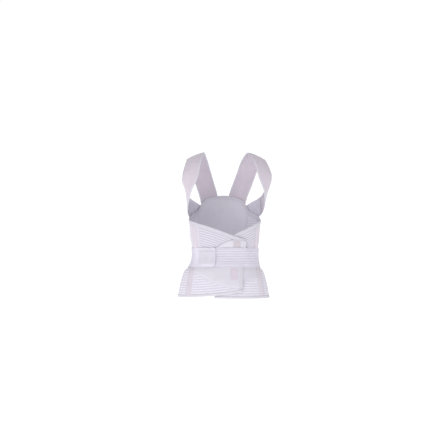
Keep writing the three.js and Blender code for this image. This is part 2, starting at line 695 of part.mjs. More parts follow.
const meshes = [
  backPanel(),
  sideGore("side_gore_right", -1),
  sideGore("side_gore_left", 1),
  stayChannel("stay_channel_right", -1),
  stayChannel("stay_channel_left", 1),
  frontStrip("front_upper_left", FRONTS.left, true),
  frontStrip("front_lower_left", FRONTS.left, false),
  frontTab("front_tab_left", FRONTS.left),
  frontStrip("front_upper_right", FRONTS.right, true),
  frontStrip("front_lower_right", FRONTS.right, false),
  frontTab("front_tab_right", FRONTS.right),
  edgeTape("top_tape_left", FRONTS.left, true),
  edgeTape("top_tape_right", FRONTS.right, true),
  edgeTape("hem_tape_left", FRONTS.left, false),
  edgeTape("hem_tape_right", FRONTS.right, false),
  endTape(),
  shoulderStrap("shoulder_strap_right", -1),
  shoulderStrap("shoulder_strap_left", 1),
  waistBand("waist_band_left", UNDER_BAND_LINE, -1, Infinity),
  waistBand("waist_band_right", TOP_BAND_LINE, 1, BAND_TAB.from - 3),
  bandTab(),
  ...Object.entries(LABELS).map(([name, size]) => label(name, size)),
];

const brace = new THREE.Group();
brace.add(...meshes);
export default brace;
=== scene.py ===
# Thoracolumbar brace in its worn form. Each cloth piece is laid again where its solid is, with its ribs,
# folded tapes, stitches and weave. Pieces are in millimetres; camera, floor and lights in metres.
# A bearing is in degrees round the brace: 0 front, 90 its left, 180 back.
import math
import bmesh
import bpy
import numpy as np
from functools import partial
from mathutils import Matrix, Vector


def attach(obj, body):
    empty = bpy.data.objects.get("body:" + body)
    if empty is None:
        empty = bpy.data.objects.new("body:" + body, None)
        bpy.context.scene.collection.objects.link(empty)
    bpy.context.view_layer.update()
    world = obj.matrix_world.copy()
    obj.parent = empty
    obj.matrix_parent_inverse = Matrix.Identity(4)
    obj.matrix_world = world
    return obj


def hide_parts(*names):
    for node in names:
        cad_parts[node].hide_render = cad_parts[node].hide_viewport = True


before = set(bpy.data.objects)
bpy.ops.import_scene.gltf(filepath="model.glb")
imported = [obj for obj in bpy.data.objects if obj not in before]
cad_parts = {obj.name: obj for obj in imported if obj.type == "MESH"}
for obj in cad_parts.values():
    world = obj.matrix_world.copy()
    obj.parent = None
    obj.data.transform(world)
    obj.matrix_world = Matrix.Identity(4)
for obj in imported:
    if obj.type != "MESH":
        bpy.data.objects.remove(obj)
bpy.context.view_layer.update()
mm = 0.001
print("frame loaded:", len(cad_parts), "nodes")

# camera at the photograph's angle and frame
viewpoint = {"turn": -5.0, "distance": 3.1, "height": 0.108, "frameWidth": 1.6128, "sensor": 36.0}


def addObject(name, data):
    thing = bpy.data.objects.new(name, data)
    bpy.context.scene.collection.objects.link(thing)
    return thing


def placeCamera():
    data = bpy.data.cameras.new("photoCamera")
    data.sensor_width = viewpoint["sensor"]
    data.lens = viewpoint["sensor"] * viewpoint["distance"] / viewpoint["frameWidth"]
    camera = addObject("photoCamera", data)
    turn = math.radians(viewpoint["turn"])
    back = Vector((math.sin(turn), -math.cos(turn), 0))
    camera.location = back * viewpoint["distance"] + Vector((0, 0, viewpoint["height"]))
    camera.rotation_euler = (-back).to_track_quat("-Z", "Y").to_euler()
    bpy.context.scene.camera = camera


placeCamera()
print("camera placed")


# value of one column of a table where another column is "at", on a smooth curve through its rows
def curveAt(table, key, column, at):
    keys = np.array(table[key], float)
    values = np.array(table[column], float)
    at = np.asarray(at, float)
    rows = np.arange(len(keys))
    before = np.maximum(rows - 1, 0)
    after = np.minimum(rows + 1, len(keys) - 1)
    slopes = (values[after] - values[before]) / (keys[after] - keys[before])
    i = np.clip(np.searchsorted(keys, at) - 1, 0, len(keys) - 2)
    span = keys[i + 1] - keys[i]
    t = np.clip((at - keys[i]) / span, 0, 1)
    rise = values[i + 1] - values[i]
    m0 = slopes[i] * span
    m1 = slopes[i + 1] * span
    return values[i] + t * (m0 + t * (3 * rise - 2 * m0 - m1 + t * (m0 + m1 - 2 * rise)))


def easeStep(value, low, high):
    t = np.clip((value - low) / (high - low), 0, 1)
    return t * t * (3 - 2 * t)


def mix(a, b, share):
    return a + (b - a) * share


# change of a reading over one unit
def slopeAt(read, at):
    return read(at + 0.5) - read(at - 0.5)


def together(*values):
    return np.broadcast_arrays(*(np.asarray(value, float) for value in values))


def unit(vectors):
    return vectors / np.linalg.norm(vectors, axis=-1, keepdims=True)


# the form that the brace is drawn round
torso = {
    "z": [-175, -152, -108, -62, -44, -28, 0, 24, 45, 75, 115, 180, 250],
    "half": [166, 163.5, 156, 141, 124.5, 117.5, 114, 117, 121.5, 124.5, 126.5, 132, 138],
    "front": [103, 102, 99, 93, 88, 84, 82, 84, 87.5, 92, 98, 105, 104],
    "back": [113, 110, 101, 90, 84, 80, 77, 79, 83, 89, 97, 106, 109],
}
squareness = 2.3
# how far the form sways to its left, by height
sway = {
    "z": [-156, -100, -58, -25, 5, 35, 70, 120, 170, 230, 290, 370],
    "x": [-1.8, -1.3, -0.8, 3.2, 4.2, 3.6, 2.2, 3.2, 5, 7, 8, 8.2],
}


def onTorso(bearing, z, lift):
    bearing, z, lift = together(bearing, z, lift)
    across = np.sin(np.radians(bearing))
    ahead = np.cos(np.radians(bearing))

    def halfAt(height):
        return curveAt(torso, "z", "half", height)

    def depthAt(height):
        front = curveAt(torso, "z", "front", height)
        return np.where(ahead > 0, front, curveAt(torso, "z", "back", height))

    half = halfAt(z)
    depth = depthAt(z)
    reach = (abs(across / half) ** squareness + abs(ahead / depth) ** squareness) ** (-1 / squareness)
    x = reach * across
    y = -reach * ahead
    nx = np.sign(x) * abs(x / half) ** (squareness - 1) / half
    ny = np.sign(y) * abs(y / depth) ** (squareness - 1) / depth
    nz = -abs(x / half) ** squareness * slopeAt(halfAt, z) / half
    nz = nz - abs(y / depth) ** squareness * slopeAt(depthAt, z) / depth
    return np.stack([x, y, z], -1) + unit(np.stack([nx, ny, nz], -1)) * lift[..., None]


# bearing where the front or back half has this x
def bearingOf(x, z, half="front"):
    share = np.clip(x / curveAt(torso, "z", "half", z), -1, 1)
    y = curveAt(torso, "z", half, z) * (1 - abs(share) ** squareness) ** (1 / squareness)
    return np.degrees(np.arctan2(x, y if half == "front" else -y))


# a place on the form beside a line, "across" towards its upper side
def besideLine(line, bearing, across, lift):
    z = curveAt(line, "bearing", "z", bearing)
    slope = slopeAt(lambda at: curveAt(line, "bearing", "z", at), bearing)
    stride = np.linalg.norm(slopeAt(lambda at: onTorso(at, z, 0), bearing), axis=-1)
    length = np.hypot(stride, slope)
    turned = bearing - slope / length * across / stride
    return onTorso(turned, z + stride / length * across, curveAt(line, "bearing", "lift", bearing) + lift)


# from millimetres on the form to the scene, with its sway
def toScene(points):
    moved = np.array(points)
    moved[..., 0] += curveAt(sway, "z", "x", moved[..., 2])
    return moved * mm


def mirrored(points, side):
    return points * np.array([side, 1, 1])


def runLengths(points, axis):
    steps = np.linalg.norm(np.diff(points, axis=axis), axis=-1)
    runs = np.cumsum(steps, axis=axis)
    return np.insert(runs, 0, 0, axis=axis)


def surfaceArea(points):
    du = points[1:, :-1] - points[:-1, :-1]
    dv = points[:-1, 1:] - points[:-1, :-1]
    return float(np.linalg.norm(np.cross(du, dv), axis=-1).sum())


rollSteps = np.array([0, 0.25, 0.6])


# shares from 0 to 1 with a few extra close to both ends, where an edge is rolled
def edgedShares(count, roll):
    ends = rollSteps * roll
    return np.concatenate([ends, np.linspace(roll, 1 - roll, count), 1 - ends[::-1]])


# shares along and up a piece, and how far its edges are rolled down
def rolledGrid(shape):
    along, up = shape["rollShares"]
    return edgedShares(shape["columns"], along)[:, None], edgedShares(shape["rows"], up)


def rolledDrop(shape, rim):
    return shape["drop"] * (1 - easeStep(rim, 0, shape["roll"]))


weldWithin = 2e-6


# a grid laid on the points, with its own map in millimetres along and across
def layCloth(name, points, turned=False, ridge=None):
    columns = points.shape[0] - 1
    rows = points.shape[1] - 1
    along = runLengths(points, 0)
    across = runLengths(points, 1)
    places = toScene(points)
    bm = bmesh.new()
    bmesh.ops.create_grid(bm, x_segments=columns, y_segments=rows, size=0.5)
    ridgeLayer = bm.verts.layers.float.new("ridge")
    mapLayer = bm.loops.layers.uv.new("cloth")
    cell = {}
    for vert in bm.verts:
        i = round((vert.co.x + 0.5) * columns)
        j = round((vert.co.y + 0.5) * rows)
        cell[vert] = (along[i, j], across[i, j])
        vert[ridgeLayer] = 0 if ridge is None else ridge[i, j]
        vert.co = places[i, j]
    for face in bm.faces:
        face.smooth = True
        for loop in face.loops:
            loop[mapLayer].uv = cell[loop.vert]
    if turned:
        bmesh.ops.reverse_faces(bm, faces=bm.faces)
    bmesh.ops.remove_doubles(bm, verts=bm.verts, dist=weldWithin)
    for edge in bm.edges:
        edge.smooth = not edge.is_boundary
    mesh = bpy.data.meshes.new(name)
    bm.to_mesh(mesh)
    bm.free()
    return addObject(name, mesh)


def thicken(piece, wall):
    shell = piece.modifiers.new("wall", "SOLIDIFY")
    shell.thickness = wall * mm
    shell.offset = -1


def dress(piece, finish, node=None):
    piece.data.materials.append(finish)
    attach(piece, "root")
    if node:
        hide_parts(node)


# slot of each cloth, how thick it is drawn, a little less than its solid, and its stretch in wear
cloths = {
    "strip": ("elastic", 0.99, 1.1), "band": ("elastic", 0.9, 1.15), "casing": ("casing", 0.9, 1.0),
    "tab": ("smooth_cloth", 0.8, 1.0), "patch": ("smooth_cloth", 0.8, 1.0),
    "back": ("smooth_cloth", 1.0, 1.0), "tape": ("trim", 0.55, 1.0), "label": ("label", 0.5, 1.0),
}


# a cloth wall with its cut size: the worn surface, let back from its stretch along the columns
def clothWall(name, points, cloth, finish, turned=False, ridge=None):
    slot, wall, stretch = cloths[cloth]
    piece = layCloth(name, points, turned, ridge)
    thicken(piece, wall)
    dress(piece, finish, name)
    width = float(runLengths(points, 0)[-1].max()) * mm / stretch
    length = float(runLengths(points, 1)[:, -1].max()) * mm
    area = min(surfaceArea(points) * mm * mm / stretch, width * length)
    print(f"  {name}: cut {width * 1000:.0f} x {length * 1000:.0f} mm, {area * 1e4:.0f} cm2")


# shader sockets as values
class Strand:
    def __init__(self, tree, socket=None):
        self.tree = tree
        self.socket = socket

    def add(self, kind, settings, sockets, output=0):
        node = self.tree.nodes.new(kind)
        for name, value in settings.items():
            setattr(node, name, value)
        for name, value in sockets.items():
            if isinstance(value, Strand):
                self.tree.links.new(value.socket, node.inputs[name])
            else:
                node.inputs[name].default_value = value
        return Strand(self.tree, node.outputs[output])

    def math(self, operation, *others):
        values = dict(enumerate([self, *others]))
        return self.add("ShaderNodeMath", {"operation": operation}, values)

    def __add__(self, other):
        return self.math("ADD", other)

    __radd__ = __add__

    def __sub__(self, other):
        return self.math("SUBTRACT", other)

    def __rsub__(self, other):
        return self.add("ShaderNodeMath", {"operation": "SUBTRACT"}, {0: other, 1: self})

    def __mul__(self, other):
        return self.math("MULTIPLY", other)

    def wave(self, pitch):
        return (self * (2 * math.pi / pitch)).math("SINE")

    # mix of two colours as seen on screen
    def between(self, low, high):
        values = {0: self, 6: linearColour(low), 7: linearColour(high)}
        return self.add("ShaderNodeMix", {"data_type": "RGBA"}, values, 2)

    def shaded(self, colour):
        settings = {"data_type": "RGBA", "blend_type": "MULTIPLY"}
        return self.add("ShaderNodeMix", settings, {0: 1.0, 6: colour, 7: self}, 2)


# colour as seen on screen, 0 to 255, to the linear one that shaders take
def linearColour(seen):
    linear = [((c / 255 + 0.055) / 1.055) ** 2.4 for c in seen]
    return (*linear, 1.0)


clothGloss = 0.25
bumpStrength = 0.6


# a cloth material with its places along and across the cloth, and in the scene
class Finish:
    def __init__(self, name, look):
        self.look = look
        self.material = bpy.data.materials.new(name)
        self.material.use_nodes = True
        tree = self.material.node_tree
        self.shader = tree.nodes["Principled BSDF"]
        self.shader.inputs["Roughness"].default_value = look["roughness"]
        self.shader.inputs["Sheen Weight"].default_value = look["sheen"]
        self.shader.inputs["Specular IOR Level"].default_value = clothGloss
        self.start = Strand(tree)
        cloth = self.start.add("ShaderNodeUVMap", {"uv_map": "cloth"}, {})
        self.along = self.start.add("ShaderNodeSeparateXYZ", {}, {0: cloth}, 0)
        self.across = self.start.add("ShaderNodeSeparateXYZ", {}, {0: cloth}, 1)
        self.place = self.start.add("ShaderNodeTexCoord", {}, {}, "Object")

    def noise(self, kind):
        scale, detail = self.look[kind]
        values = {"Vector": self.place, "Scale": scale, "Detail": detail}
        return self.start.add("ShaderNodeTexNoise", {}, values, "Fac")

    def join(self, colour, height):
        tree = self.material.node_tree
        tree.links.new(colour.socket, self.shader.inputs["Base Color"])
        values = {"Strength": bumpStrength, "Distance": self.look["depth"] * mm, "Height": height}
        bump = self.start.add("ShaderNodeBump", {}, values, "Normal")
        tree.links.new(bump.socket, self.shader.inputs["Normal"])
        return self.material

    # two colours mixed by a noise, with a pattern that shades the cloth and lifts it
    def weave(self, colours, pattern, kind="cloud"):
        base, swing = self.look["tone"]
        colour = self.noise(kind).between(*colours)
        return self.join((base + pattern * swing).shaded(colour), pattern)


# lit and shaded copies of one elastic: painted shade on the upper strips, whose faces tilt down, and
# painted light on the lower strips and gores, whose faces tilt up; the belt lies between
elasticLitAndShadedLook = {
    "upper": ((189, 184, 197), (217, 213, 223)),
    "belt": ((199, 195, 209), (213, 209, 221)),
    "lower": ((205, 200, 213), (225, 222, 231)),
    "roughness": 0.85, "sheen": 0.15, "cloud": (22.0, 3.0), "tone": (0.97, 0.06),
    "knit": 1.7, "course": 1.3, "holes": 0.14, "relief": (0.6, 0.25), "depth": 0.35,
}


# ribbed elastic: light ridges with open knit between them, in lit and shaded copies: painted shade darkens
# the upper strips and painted light brightens the lower strips and gores
def ribbedElasticLitAndShaded(part):
    finish = Finish(part + "Elastic", elasticLitAndShadedLook)
    ridge = finish.start.add("ShaderNodeAttribute", {"attribute_name": "ridge"}, {}, "Fac")
    knit = finish.along.wave(elasticLitAndShadedLook["knit"])
    course = finish.across.wave(elasticLitAndShadedLook["course"])
    loops = (knit * course).math("MAXIMUM", 0.0)
    holes = loops * (1 - ridge) * elasticLitAndShadedLook["holes"]
    colour = ridge.between(*elasticLitAndShadedLook[part])
    base, swing = elasticLitAndShadedLook["tone"]
    tone = base + finish.noise("cloud") * swing - holes
    byLoop, byKnit = elasticLitAndShadedLook["relief"]
    return finish.join(tone.shaded(colour), loops * byLoop + knit * byKnit)


# the greyer copy is the hook patch's own colour and, on the left tab, painted shade
smoothLook = {
    "tab": ((201, 198, 208), (209, 206, 216)),
    "greyPatchAndShadedTab": ((195, 192, 203), (203, 200, 211)),
    "roughness": 0.95, "sheen": 0.3, "fuzz": (900.0, 3.0), "nap": (60.0, 2.0), "tone": (0.93, 0.14),
    "depth": 0.3,
}


# brushed loop cloth of the tabs and the back, with a greyer copy for the hook patch that also paints shade
# on the left tab
def brushedLoop(part):
    finish = Finish(part + "Loop", smoothLook)
    return finish.weave(smoothLook[part], finish.noise("fuzz"), "nap")


strapLook = {
    "cloth": ((196, 187, 199), (206, 197, 208)),
    "roughness": 0.9, "sheen": 0.25, "cloud": (30.0, 3.0), "tone": (0.98, 0.025, 0.012),
    "wale": 2.4, "twill": 1.9, "slant": 0.5, "relief": (0.7, 0.3), "depth": 0.3,
}


# close knit over the pads of the straps, with fine lengthwise wales
def strapKnit():
    finish = Finish("strapKnit", strapLook)
    wale = finish.across.wave(strapLook["wale"])
    twill = (finish.along + finish.across * strapLook["slant"]).wave(strapLook["twill"])
    colour = finish.noise("cloud").between(*strapLook["cloth"])
    base, byWale, byTwill = strapLook["tone"]
    tone = base + wale * byWale + twill * byTwill
    waleRise, twillRise = strapLook["relief"]
    return finish.join(tone.shaded(colour), wale * waleRise + twill * twillRise)


# painted shade darkens the top tapes and painted light brightens the hem tapes; the edge tape lies between
tapeLitAndShadedLook = {
    "top": ((198, 195, 206), (206, 203, 213)),
    "edge": ((204, 201, 211), (212, 209, 218)),
    "hem": ((209, 206, 215), (217, 214, 222)),
    "roughness": 0.8, "sheen": 0.1, "cloud": (40.0, 2.0), "tone": (0.985, 0.02),
    "rep": 1.6, "depth": 0.25,
}


# woven tape of the edges, with fine cross ribs, in lit and shaded copies: painted shade on the top tapes,
# painted light on the hem tapes, which face down
def wovenTape(part):
    finish = Finish(part + "Tape", tapeLitAndShadedLook)
    return finish.weave(tapeLitAndShadedLook[part], finish.along.wave(tapeLitAndShadedLook["rep"]))


casingLook = {
    "cloth": ((205, 198, 208), (212, 205, 215)),
    "roughness": 0.85, "sheen": 0.15, "cloud": (35.0, 2.0), "tone": (0.98, 0.02),
    "chevron": 2.6, "turn": 5.0, "depth": 0.25,
}


# close woven casing over the side stays, in a fine herringbone
def stayCasing():
    finish = Finish("stayCasing", casingLook)
    turn = finish.across.math("PINGPONG", casingLook["turn"])
    return finish.weave(casingLook["cloth"], (finish.along + turn).wave(casingLook["chevron"]))


labelLook = {
    "label_upper": ((188, 181, 189), (194, 187, 195)),
    "label_lower": ((203, 193, 206), (209, 199, 211)),
    "roughness": 0.6, "sheen": 0.0, "cloud": (70.0, 2.0), "tone": (0.99, 0.02),
    "weave": 1.2, "depth": 0.15,
}


# blank satin patch
def labelSatin(name):
    finish = Finish(name + "_satin", labelLook)
    satin = finish.along.wave(labelLook["weave"]) * finish.across.wave(labelLook["weave"])
    return finish.weave(labelLook[name], satin)


threadLook = {
    "cloth": ((203, 200, 212), (217, 214, 224)),
    "roughness": 0.7, "sheen": 0.1, "cloud": (260.0, 2.0), "tone": (0.95, 0.08), "depth": 0.1,
}


def sewingThread():
    finish = Finish("sewingThread", threadLook)
    return finish.weave(threadLook["cloth"], finish.noise("cloud"))


# one copy of the elastic for each place, with painted shade above and painted light below
elastic = {part: ribbedElasticLitAndShaded(part) for part in ("upper", "belt", "lower")}
smooth = {part: brushedLoop(part) for part in ("tab", "greyPatchAndShadedTab")}
strapCloth = strapKnit()
# one copy of the tape for each edge, with painted shade on top and painted light at the hem
tapeLitAndShaded = {part: wovenTape(part) for part in ("top", "edge", "hem")}
casing = stayCasing()
thread = sewingThread()
print("finishes made:", len(bpy.data.materials))

# layers of cloth at the front, from the form outwards
layers = {"wall": 1.1, "rib": 0.7, "panel": 1.5, "tab": 1.1, "gap": 0.5, "ease": 0.4, "label": 0.6}
tape = {
    "thick": 0.7, "ease": 0.1, "top": 12, "hem": 7, "end": 7, "inside": 9, "pucker": 0.12, "puckerPitch": 7,
    "press": 0.6, "pressFade": 4, "rim": 1.7, "under": 0.3, "endUnder": 0.1, "columns": 300, "endRows": 110,
}
tapeFace = layers["panel"] + layers["gap"] + tape["ease"]
tabLift = tapeFace + tape["thick"] + layers["gap"]
labelFace = layers["tab"] + layers["gap"] + layers["label"]
overlapLift = tabLift + layers["tab"] + layers["gap"]
frontStack = overlapLift + tabLift + layers["tab"] + layers["gap"]
# the right tab sinks on to the left front where no strip runs in under its edges
sink = {"depth": tabLift - 0.6, "fromTop": (8, 28), "fromLow": (8, 60), "acrossX": (-95, -50)}
sunkStack = frontStack - sink["depth"] + tape["thick"] + 2 * layers["gap"]

# rise of one rib over its pitch
ribShape = [
    (0, 0), (0.16, 0.04), (0.27, 0.26), (0.38, 0.78), (0.5, 1), (0.62, 0.78), (0.73, 0.26), (0.84, 0.04),
]
ribPitch = 8.6
ribMargin = 0.8


# distances from an edge to the rows of ribbed cloth, and how high each row rises
def ribRows(reach, border, pitch):
    at = [0, border * 0.5]
    rise = [0, 0]
    start = border
    while start < reach:
        for share, height in ribShape:
            at.append(start + share * pitch)
            rise.append(height)
        start += pitch
    return np.array([*at, start]), np.array([*rise, 0])


# outlines of the two fronts in the front view
channelLine = {"z": [-156, -100, -50, -27, 0, 60, 118], "x": [130, 124, 115, 107, 104, 111, 115]}
backSeam = {"z": [-156, -60, 0, 90, 200], "x": [104, 88, 74, 84, 98]}
rightFront = {
    "side": -1, "sink": sink["depth"],
    "end": {"z": [-150, -60, 20, 70], "x": [54, 55.5, 61, 63]},
    "top": {"x": [-125, -92, -48, 20, 64], "z": [118, 106, 93, 67.5, 53]},
    "hem": {"x": [-145, -90, -40, 10, 62], "z": [-149, -145, -141, -135.5, -128]},
    "tabLow": {"inward": [0, 40, 66, 92, 110, 124, 147, 172],
               "z": [-119, -113, -107, -99.5, -91, -81.5, -69, -56]},
}
leftFront = {
    "side": 1, "sink": 0,
    "end": {"z": [-150, 70], "x": [-41, -41]},
    "top": {"x": [-58, -10, 24, 75, 125], "z": [27, 46, 68.5, 93, 118]},
    "hem": {"x": [-58, 60, 145], "z": [-150, -152, -154]},
    "tabLow": {"inward": [0, 60, 98, 118, 150, 172], "z": [-122, -113, -98, -91, -87, -85]},
}
tabTopLine = {"inward": [0, 30, 48, 74, 104, 130, 170], "z": [52, 52, 52.5, 45, 25.5, 13, -6]}
tabOverlap = 10
tabTopRoom = 3
tabHemRoom = 8.35
climb = {"start": 34, "stop": 4}
levels = {"top": 112, "upper": 60, "tab": -30, "lower": -100, "hem": -150}
channel = {
    "width": 12.5, "lap": 0.9, "length": 262, "rows": 130, "crown": 3.2, "edge": 2.1, "underTape": 1.5,
    "riseLow": (11.6, 15.95), "riseTop": (14.5, 17.4), "bulge": (0.5, 0.85), "rim": 0.3, "rimFrom": 0.88,
    "shares": [-1, -0.96, -0.88, -0.8, -0.68, -0.5, -0.25, 0, 0.25, 0.5, 0.68, 0.8, 0.88, 0.96, 1],
}


def channelX(z):
    return curveAt(channelLine, "z", "x", z)


def panelEdgeX(z):
    return channelX(z) - channel["width"] / 2 - layers["gap"]


def endX(front, z):
    return curveAt(front["end"], "z", "x", z)


# the right front climbs on the left one
def frontLift(front, x):
    if front is leftFront:
        return np.zeros_like(x)
    edge = leftFront["end"]["x"][0]
    return overlapLift * easeStep(x, edge - climb["start"], edge - climb["stop"])


def frontX(front, u, z):
    return mix(front["side"] * panelEdgeX(z), endX(front, z), u)


def frontTop(front, x):
    return curveAt(front["top"], "x", "z", x)


def frontHem(front, x):
    return curveAt(front["hem"], "x", "z", x)


def tabTop(front, x):
    z = curveAt(tabTopLine, "inward", "z", abs(endX(front, levels["upper"]) - x))
    return np.minimum(z, frontTop(front, x) - tabTopRoom)


def tabLow(front, x):
    z = curveAt(front["tabLow"], "inward", "z", abs(endX(front, levels["lower"]) - x))
    return np.maximum(z, frontHem(front, x) + tabHemRoom)


def onFront(front, x, z, lift):
    return onTorso(bearingOf(x, z), z, frontLift(front, x) + lift)


def onTab(front, x, z, lift):
    below = easeStep(tabTop(front, x) - z, *sink["fromTop"])
    above = easeStep(z - tabLow(front, x), *sink["fromLow"])
    share = below * above * easeStep(x, *sink["acrossX"])
    return onFront(front, x, z, tabLift - front["sink"] * share + lift)


strip = {
    "columns": 90, "plainSide": {"front_upper_right": 8}, "plainEdge": 1, "plainTone": 0.55,
    "sideFade": 4, "endFade": (1, 3), "tabFade": (1, 3),
}


# ribbed strip of a front, from its bound edge to where it runs in under the tab
def frontStrip(name, front, upper):
    u = np.linspace(0, 1, strip["columns"])[:, None]
    guide = frontX(front, u, levels["upper" if upper else "lower"])
    edge = frontTop(front, guide) if upper else frontHem(front, guide)
    cut = tabTop(front, guide) - tabOverlap if upper else tabLow(front, guide) + tabOverlap
    reach = abs(cut - edge)
    border = tape["top" if upper else "hem"] + ribMargin
    at, rise = ribRows(reach.max(), border, ribPitch)
    run = np.minimum(at, reach)
    z = edge + np.sign(cut - edge) * run
    x = frontX(front, u, z)
    beside = abs(x - front["side"] * panelEdgeX(z))
    plain = strip["plainSide"].get(name, strip["plainEdge"])
    ribbed = easeStep(beside, plain, plain + strip["sideFade"])
    ridge = rise * ribbed * easeStep(reach - run - tabOverlap, *strip["tabFade"])
    ridge = ridge * easeStep(abs(x - endX(front, z)), *strip["endFade"])
    points = onFront(front, x, z, layers["wall"] + layers["rib"] * ridge)
    turned = (front["side"] < 0) == upper
    tone = np.maximum(ridge, strip["plainTone"] * (1 - ribbed))
    # painted shade on the upper strips, painted light on the lower ones
    finish = elastic["upper" if upper else "lower"]
    clothWall(name, points, "strip", finish, turned, tone)


tab = {
    "columns": 60, "rows": 60, "rollShares": (0.012, 0.02), "roll": 2.2, "drop": 0.5,
    "press": 2.1, "pressReach": 7, "besideTop": (3, 10), "besideEnd": (1, 8), "sewnShare": 0.9,
}


# how far the edges of a tab are sewn down on its strips, where no tape lies between
def tabPress(front, x, z):
    low = tabLow(front, x)
    high = tabTop(front, x)
    room = easeStep(frontTop(front, x) - high - tape["top"], *tab["besideTop"])
    beside = easeStep(abs(endX(front, z) - x) - tape["end"], *tab["besideEnd"])
    press = np.maximum(room * (1 - easeStep(high - z, 0, tab["pressReach"])),
                       1 - easeStep(z - low, 0, tab["pressReach"]))
    sewn = 1 - easeStep(abs(x - front["side"] * panelEdgeX(z)), 0, tab["pressReach"])
    return tab["press"] * np.maximum(press * beside, tab["sewnShare"] * sewn)


# smooth closing tab over the two strips
def frontTab(name, front):
    u, v = rolledGrid(tab)
    guide = frontX(front, u, levels["tab"])
    low = tabLow(front, guide)
    high = tabTop(front, guide)
    z = mix(low, high, v)
    x = frontX(front, u, z)
    rim = np.minimum(np.minimum(z - low, high - z), abs(endX(front, z) - x))
    points = onTab(front, x, z, layers["tab"] - rolledDrop(tab, rim) - tabPress(front, x, z))
    # the left tab takes the greyer copy, painted darker as shade
    finish = smooth["tab" if front is rightFront else "greyPatchAndShadedTab"]
    clothWall(name, points, "tab", finish, front["side"] > 0)


for side, front in (("left", leftFront), ("right", rightFront)):
    frontStrip("front_upper_" + side, front, True)
    frontStrip("front_lower_" + side, front, False)
    frontTab("front_tab_" + side, front)
print("fronts made")


# casing of a side stay, lapped over the front and the gore beside it
def onChannel(front, t, across, lift):
    side = front["side"]
    low = frontHem(front, side * (channelX(levels["hem"]) + across))
    high = frontTop(front, side * (channelX(levels["top"]) + across))
    z = mix(low, high, t)
    return onTorso(side * bearingOf(channelX(z) + across, z), z, lift)


def stayChannel(name, front):
    half = channel["width"] / 2 + channel["lap"]
    t = np.linspace(0, 1, channel["rows"])[:, None]
    share = np.array(channel["shares"])
    run = t * channel["length"]
    crown = easeStep(run, *channel["riseLow"]) * easeStep(channel["length"] - run, *channel["riseTop"])
    bulge = 1 - easeStep(abs(share), *channel["bulge"])
    rim = channel["rim"] * easeStep(abs(share), channel["rimFrom"], 1)
    edge = mix(channel["underTape"], channel["edge"], crown)
    lift = edge + (channel["crown"] - edge) * crown * bulge - rim
    points = onChannel(front, t, share * half, lift)
    clothWall(name, points, "casing", casing, front["side"] > 0)


stayChannel("stay_channel_right", rightFront)
stayChannel("stay_channel_left", leftFront)

# ribbed gores at the sides and the plain panel at the back
gore = {
    "columns": 60, "hemX": 140, "frontGap": 1.4, "backGap": 0.3, "lap": 2.2, "lapDrop": 0.5, "lapShort": 4,
    "rib": 0.5, "lapFade": (0.015, 0.045), "frontFade": (0.03, 0.07), "backFade": (0.955, 0.985),
    "topFade": (3, 7),
    "top": {"share": [0, 0.3, 1], "z": [118, 123, 156]},
}
back = {
    "columns": 90, "rows": 110, "hem": -156, "lap": 2.6, "lapRise": 0.9, "lapReach": 3.4, "lapShort": 6,
    "lapFrom": 0.4, "shortFrom": (0.495, 0.515), "rollShare": 0.012,
    "top": {"share": [0, 0.07, 0.15, 0.28, 0.5, 0.72, 0.85, 0.93, 1],
            "z": [157, 177, 195, 206, 212, 206, 195, 177, 157]},
}


def goreBack(z):
    return bearingOf(curveAt(backSeam, "z", "x", z), z, "back")


def goreBearing(u, z, lap=0):
    start = bearingOf(channelX(z) + channel["width"] / 2, z) + gore["frontGap"] - lap
    return mix(start, goreBack(z) - gore["backGap"], u)


def goreHem(front, u):
    return mix(frontHem(front, front["side"] * gore["hemX"]), back["hem"], u)


def goreTop(u):
    return curveAt(gore["top"], "share", "z", u)


def sideGore(name, front):
    u = np.linspace(0, 1, gore["columns"])[:, None]
    hem = goreHem(front, u)
    lapped = 1 - easeStep(u, *gore["lapFade"])
    reach = goreTop(u) - hem - gore["lapShort"] * lapped
    at, rise = ribRows(reach.max(), tape["hem"] + ribMargin, ribPitch)
    run = np.minimum(at, reach)
    ridge = rise * easeStep(reach - run - tape["top"], *gore["topFade"])
    ridge = ridge * easeStep(u, *gore["frontFade"]) * (1 - easeStep(u, *gore["backFade"]))
    z = hem + run
    lift = layers["wall"] + gore["rib"] * ridge - gore["lapDrop"] * lapped
    points = onTorso(front["side"] * goreBearing(u, z, gore["lap"]), z, lift)
    # the gores take the copy with painted light
    clothWall(name, points, "strip", elastic["lower"], front["side"] < 0, ridge)


sideGore("side_gore_right", rightFront)
sideGore("side_gore_left", leftFront)


def backTop(share):
    return curveAt(back["top"], "share", "z", share)


def backBearing(u, z):
    seam = goreBack(z)
    return mix(seam - back["lap"], 360 - seam + back["lap"], u)


def backPanel():
    u = edgedShares(back["columns"], back["rollShare"])[:, None]
    v = np.linspace(0, 1, back["rows"])
    seam = goreBack(backTop(u))
    share = (u - 0.5) * (1 + back["lap"] / (180 - seam)) + 0.5
    short = back["lapShort"] * easeStep(abs(share - 0.5), *back["shortFrom"])
    z = mix(back["hem"], backTop(share) - short, v)
    bearing = backBearing(u, z)
    beside = np.minimum(bearing, 360 - bearing) - goreBack(z)
    lapped = 1 - easeStep(beside, back["lapFrom"], back["lapReach"])
    points = onTorso(bearing, z, layers["panel"] + back["lapRise"] * lapped)
    clothWall("back_panel", points, "back", smooth["tab"])


backPanel()
print("sides and back made")


edgeRows = {"front": 12, "channel": 5, "gore": 7, "back": 7, "corner": 0.04}


